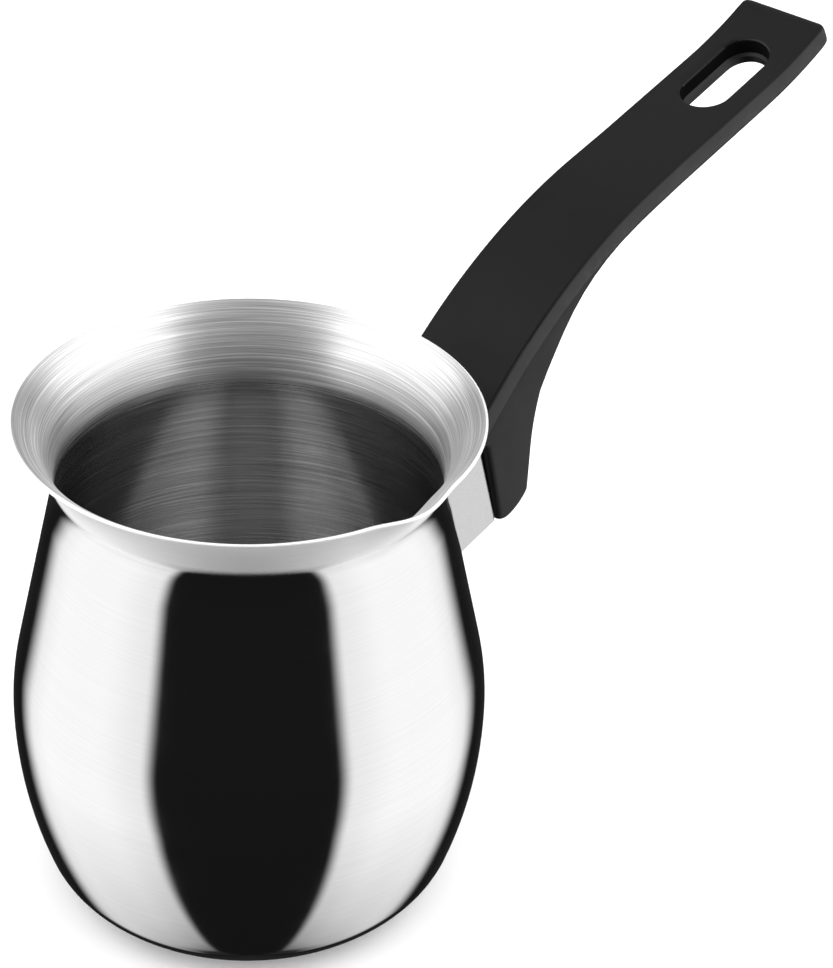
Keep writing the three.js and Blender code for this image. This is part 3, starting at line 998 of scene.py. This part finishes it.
def handle_blank():
    """The moulded bar and foot, before the slot and the screw hole."""
    outline, radii = handle_outline()
    area = sum(a.cross(b) for a, b in zip(outline, outline[1:] + outline[:1]))
    if area < 0:
        outline, radii = outline[::-1], radii[::-1]
    count = len(outline)
    rings = edge_rings(outline, radii)
    verts = []
    for side in (1, -1):
        for ring in rings[:-1]:
            verts += [(place.x, side * half, place.y) for place, half in ring]
    patch, triangles, edge = side_patch([place for place, _ in rings[-1]])
    patch_start = len(verts)
    for side in (1, -1):
        verts += [(p.x, side * half_width(p), p.y) for p in patch]
    lane_start = len(verts)
    for lane in range(1, LANES):
        share = 2 * lane / LANES - 1
        verts += [(place.x, -share * half, place.y) for place, half in rings[0]]

    faces = []
    for number in range(2):
        first = number * CAP_RINGS * count
        start = patch_start + number * len(patch)
        faces += [[start + v for v in triangle] for triangle in triangles]
        rows = [list(range(first + i * count, first + (i + 1) * count)) for i in range(CAP_RINGS)]
        rows.append([start + v for v in edge])
        for low, high in zip(rows, rows[1:]):
            faces += quads(low, high)
    lanes = [list(range(count))]
    lanes += [
        list(range(lane_start + i * count, lane_start + (i + 1) * count)) for i in range(LANES - 1)
    ]
    lanes.append(list(range(CAP_RINGS * count, (CAP_RINGS + 1) * count)))
    for low, high in zip(lanes, lanes[1:]):
        faces += quads(low, high)
    return mesh_from(verts, faces, "handle")


# The slot's wall as (depth below the top, how far the outline spreads): a rounded mouth on top, a wall
# that narrows to the ledge, and a rounded mouth below. It starts and ends outside the bar.
SLOT_WALL = [
    (-0.6, 2.2), (0.0, 0.75), (0.12, 0.42), (0.35, 0.16), (SLOT_MOUTH_RADIUS, 0.0),
    (SLOT_LEDGE_DEPTH - 0.5, -0.1), (SLOT_LEDGE_DEPTH, -0.75),
    (GRIP_THICKNESS - SLOT_MOUTH_RADIUS, -0.65), (GRIP_THICKNESS - 0.35, -0.5),
    (GRIP_THICKNESS - 0.12, -0.25), (GRIP_THICKNESS, 0.1), (GRIP_THICKNESS + 0.6, 1.6),
]
SLOT_MIDDLE_X = TIP[0] - SLOT_FROM_TIP
SLOT_REGION = (SLOT_MIDDLE_X - SLOT_LENGTH / 2, SLOT_MIDDLE_X + SLOT_LENGTH / 2 + 2)


def top_from_tip(back):
    """The point of the top line a length back from the tip, and the direction towards the tip there."""
    length = 0.0
    for end, start in zip(TOP_POINTS[::-1], TOP_POINTS[-2::-1]):
        part = (end - start).length
        if length + part > back:
            toward_tip = (end - start).normalized()
            return end - toward_tip * (back - length), toward_tip
        length += part
    raise ValueError("the slot starts before the top line")


def slot_cutter():
    """The hanging slot, square to the bar all along it."""
    radius = SLOT_WIDTH / 2
    straight = SLOT_LENGTH / 2 - radius
    outline = []
    for end, first in ((1, -90), (-1, 90)):
        for step in range(SLOT_END_STEPS + 1):
            angle = math.radians(first + 180 * step / SLOT_END_STEPS)
            outline.append((end * straight, math.cos(angle), math.sin(angle)))
    verts = []
    for depth, spread in SLOT_WALL:
        for centre, cos, sin in outline:
            back = SLOT_FROM_TIP - (centre + (radius + spread) * cos)
            top, heading = top_from_tip(back)
            place = top + Vector((heading.y, -heading.x)) * depth
            verts.append((place.x, (radius + spread) * sin, place.y))
    count = len(outline)
    rows = [list(range(i * count, (i + 1) * count)) for i in range(len(SLOT_WALL))]
    faces = []
    for low, high in zip(rows, rows[1:]):
        faces += quads(low, high)
    faces += [rows[0], rows[-1]]
    return mesh_from(verts, faces)


def screw_hole():
    """The hole for the shank, the seat and the counterbore, as one turned cutter."""
    far = HEAD_SEAT + COUNTERBORE_REACH
    profile = [
        (0, 0), (HOLE_RADIUS, 0), (HOLE_RADIUS, SEAT - SHANK_HOLE_CHAMFER),
        (HOLE_RADIUS + SHANK_HOLE_CHAMFER, SEAT), (COUNTERBORE_RADIUS - COUNTERBORE_FILLET, SEAT),
        (COUNTERBORE_RADIUS, SEAT + COUNTERBORE_FILLET), (COUNTERBORE_RADIUS + COUNTERBORE_DRAFT, far),
        (0, far),
    ]
    return along_screw(lathe(profile, 72))


# Regions of the handle, each with its own copy of the phenolic whose reflection strength is painted light:
# shade on the top, the lower side and the slot, sheen on the band.
TOP_PAINTED_SHADE, BAND_PAINTED_SHEEN, LOWER_PAINTED_SHADE, SLOT_PAINTED_SHADE = range(4)
TOP_FACE_DEPTH = 0.6
SLOT_SHADE_START = 0.3
SLOT_SHADE_END = SLOT_LEDGE_DEPTH - 0.4


def handle_painted_light_region(face):
    """Which copy of the phenolic a face gets, each with its own reflection strength as painted light: the
    top (painted shade), the band above the parting line (painted sheen), what is below it (painted shade),
    or the slot (painted shade, no reflection).
    """
    place = Vector((face.center.x, face.center.z)) / MM
    depth = depth_below_top(place)
    in_slot = abs(face.center.y) < SLOT_WIDTH / 2 * MM and SLOT_REGION[0] < place.x < SLOT_REGION[1]
    if in_slot and SLOT_SHADE_START < depth < SLOT_SHADE_END:
        return SLOT_PAINTED_SHADE
    if face.normal.z > 0.5 and depth < TOP_FACE_DEPTH:
        return TOP_PAINTED_SHADE
    return BAND_PAINTED_SHEEN if depth < PARTING_DEPTH else LOWER_PAINTED_SHADE


def handle():
    """The moulded handle with its slot, screw hole, and copies of its phenolic whose reflection strength
    paints light and shade by region.
    """
    # Copies of one phenolic whose reflection strength differs by region, as painted light: a painted sheen
    # on the band, painted shade on the top and the lower side, and no reflection in the slot, a painted
    # shade.
    lit_copies = [
        phenolic("phenolic top painted shade", 0.11, 0.40, 0.54),
        phenolic("phenolic band painted sheen", 0.26, 0.36, 0.46),
        phenolic("phenolic lower painted shade", 0.13, 0.40, 0.50),
        phenolic("phenolic slot painted shade", 0.0, 0.50, 0.60),
    ]
    piece = made("grip", handle_blank(), lit_copies)
    cut(piece, [slot_cutter(), screw_hole()])
    mesh = piece.data
    for face in mesh.polygons:
        face.material_index = handle_painted_light_region(face)
    mesh.shade_smooth()
    mesh.set_sharp_from_angle(angle=math.radians(38))
    even_normals(piece)
    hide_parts("handle")
    return piece


# ---- Studio -----------------------------------------------------------------------------------

# Azimuths in degrees from the camera's side, and brightness by (elevation, value).
PANEL_NEAR = 45
PANEL_FAR = 130
PANEL_SOFTNESS = 4.5
PANEL_FAR_SOFTNESS = 10
PANEL_OFFSET = 1.6
PANEL_EVEN = (75, 105)
PANEL_NEAR_EDGE_SHARE = 0.86
PANEL_FAR_EDGE_SHARE = 0.84
PANEL_STOPS = [
    (-90, 0.01), (-80, 0.03), (-73, 0.5), (-64, 0.82), (-52, 1.08), (-38, 1.3), (-6, 1.3),
    (14, 2.3), (60, 2.3), (90, 1.2),
]
AROUND_STOPS = [(-90, 0.01), (-8, 0.012), (14, 0.3), (35, 0.48), (70, 0.52), (90, 0.5)]
BEHIND = (142, 166)
BEHIND_SHARES = (0.9, 1.9)
BACKDROP = 1.0
OVERHEAD_ENERGY = 1.15
OVERHEAD_ANGLE = 70
OVERHEAD_TURN = (12, -10, 0)
FLOOR_RADIUS = 6.0
FLOOR_DROP = 0.05
FLOOR_SIDES = 64
FLOOR_TONE = 0.95


def studio():
    """Two tall white panels left and right of the camera, dark between them, grey overhead."""
    world = bpy.data.worlds.new("studio")
    SCENE.world = world
    world.use_nodes = True
    tree = world.node_tree
    nodes = Nodes(tree)
    rad = math.radians
    facing = nodes.add("ShaderNodeTexCoord").outputs["Generated"]
    turned = nodes.add(
        "ShaderNodeVectorRotate",
        {"Vector": facing, "Angle": -rad(CAMERA_AZIMUTH)},
        rotation_type="Z_AXIS",
    ).outputs[0]
    parts = nodes.add("ShaderNodeSeparateXYZ", {0: turned})
    toward = nodes.math("MULTIPLY", parts.outputs["Y"], -1.0)
    around_camera = nodes.math("ARCTAN2", parts.outputs["X"], toward)
    azimuth = nodes.math("ABSOLUTE", nodes.math("ADD", around_camera, rad(PANEL_OFFSET)))
    elevation = nodes.math("ARCSINE", parts.outputs["Z"])
    height = nodes.ranged(elevation, rad(-90), rad(90))

    def step(start, end, low, high):
        return nodes.ranged(azimuth, rad(start), rad(end), low, high, smooth=True)

    near = step(PANEL_NEAR - PANEL_SOFTNESS, PANEL_NEAR + PANEL_SOFTNESS, 0.0, 1.0)
    far = step(PANEL_FAR - PANEL_FAR_SOFTNESS, PANEL_FAR + PANEL_FAR_SOFTNESS, 1.0, 0.0)
    on_panel = nodes.math("MULTIPLY", near, far)
    middle = step(PANEL_NEAR, PANEL_EVEN[0], PANEL_NEAR_EDGE_SHARE, 1.0)
    outer = step(PANEL_EVEN[1], PANEL_FAR, 1.0, PANEL_FAR_EDGE_SHARE)
    uneven = nodes.math("MULTIPLY", middle, outer)
    panel = nodes.math("MULTIPLY", curve(nodes, height, PANEL_STOPS), uneven)
    around = curve(nodes, height, AROUND_STOPS)
    around = nodes.math("MULTIPLY", around, step(*BEHIND, *BEHIND_SHARES))
    difference = nodes.math("SUBTRACT", panel, around)
    light = nodes.math("ADD", around, nodes.math("MULTIPLY", on_panel, difference))
    seen = nodes.add("ShaderNodeLightPath").outputs["Is Camera Ray"]
    shown = nodes.add("ShaderNodeMix", {"Factor": seen, "A": light, "B": BACKDROP}, data_type="FLOAT")
    background = tree.nodes["Background"]
    tree.links.new(nodes.grey(shown.outputs["Result"]), background.inputs["Color"])


def curve(nodes, height, stops):
    """Brightness as a smooth function of elevation, from (degrees, value) stops."""
    top = max(value for _, value in stops)
    ramp = nodes.add("ShaderNodeValToRGB", {"Fac": height})
    elements = ramp.color_ramp.elements
    while len(elements) < len(stops):
        elements.new(0.5)
    for element, (degrees, value) in zip(elements, stops):
        element.position = (degrees + 90) / 180
        element.color = (value / top,) * 3 + (1,)
    return nodes.math("MULTIPLY", ramp.outputs["Color"], top)


def overhead():
    """A wide soft light from above, kept out of reflections, that keeps the table top pale."""
    data = bpy.data.lights.new("overhead", "SUN")
    data.energy = OVERHEAD_ENERGY
    data.angle = math.radians(OVERHEAD_ANGLE)
    light = bpy.data.objects.new("overhead", data)
    light.rotation_euler = [math.radians(turn) for turn in OVERHEAD_TURN]
    light.visible_glossy = False
    SCENE.collection.objects.link(light)


def floor():
    """A plain pale table top, seen by the camera only, so that the panels reflect below it too."""
    angles = [2 * math.pi * i / FLOOR_SIDES for i in range(FLOOR_SIDES)]
    radius = FLOOR_RADIUS / MM
    verts = [(radius * math.cos(a), radius * math.sin(a), -FLOOR_DROP) for a in angles]
    material, shader, _ = principled("pale floor", 0.0, Roughness=0.9, Specular_IOR_Level=0.1)
    shader.inputs["Base Color"].default_value = (FLOOR_TONE, FLOOR_TONE, FLOOR_TONE, 1)
    piece = made("floor", mesh_from(verts, [list(range(FLOOR_SIDES))]), [material])
    piece.visible_glossy = False
    piece.visible_diffuse = False
    piece.visible_shadow = False


def camera():
    """Looks down over the rim from the lip's side, with the handle pointing away to the right."""
    pitch, yaw, roll = (math.radians(a) for a in (CAMERA_PITCH, CAMERA_YAW, CAMERA_ROLL))
    elevation = math.radians(CAMERA_ELEVATION)
    ahead = Vector((math.sin(yaw) * math.cos(pitch), math.cos(yaw) * math.cos(pitch), -math.sin(pitch)))
    level = Vector((math.cos(yaw), -math.sin(yaw), 0))
    upright = level.cross(ahead)
    right = level * math.cos(roll) + upright * math.sin(roll)
    up = upright * math.cos(roll) - level * math.sin(roll)
    turn = Matrix.Rotation(math.radians(CAMERA_AZIMUTH), 3, "Z")
    axes = turn @ Matrix((right, up, -ahead)).transposed()
    back = Vector((0, -math.cos(elevation), math.sin(elevation))) * CAMERA_DISTANCE * MM
    aim = Vector((0, 0, (RIM_HEIGHT + CAMERA_AIM_ABOVE_RIM) * MM))
    data = bpy.data.cameras.new("camera")
    data.lens = CAMERA_LENS
    data.sensor_width = 36
    data.clip_start = 0.01
    place = bpy.data.objects.new("camera", data)
    place.matrix_world = Matrix.Translation(aim + turn @ back) @ axes.to_4x4()
    SCENE.collection.objects.link(place)
    SCENE.camera = place


# ---- Assembly ---------------------------------------------------------------------------------

camera()
studio()
overhead()
floor()
SCENE.view_settings.view_transform = "Standard"

pieces = [
    pot(),
    bracket(),
    handle(),
    screw(),
    nut(),
    washer("flat_ring", "flat_washer", FLAT_WASHER_BACK, FLAT_WASHER_RADIUS, FLAT_WASHER_THICKNESS, 0),
    washer("spring_ring", "spring_washer", SPRING_WASHER_BACK, SPRING_WASHER_RADIUS,
           SPRING_WASHER_THICKNESS, SPRING_WASHER_GAP_ANGLE),
]
for piece in pieces:
    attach(piece, BODY)
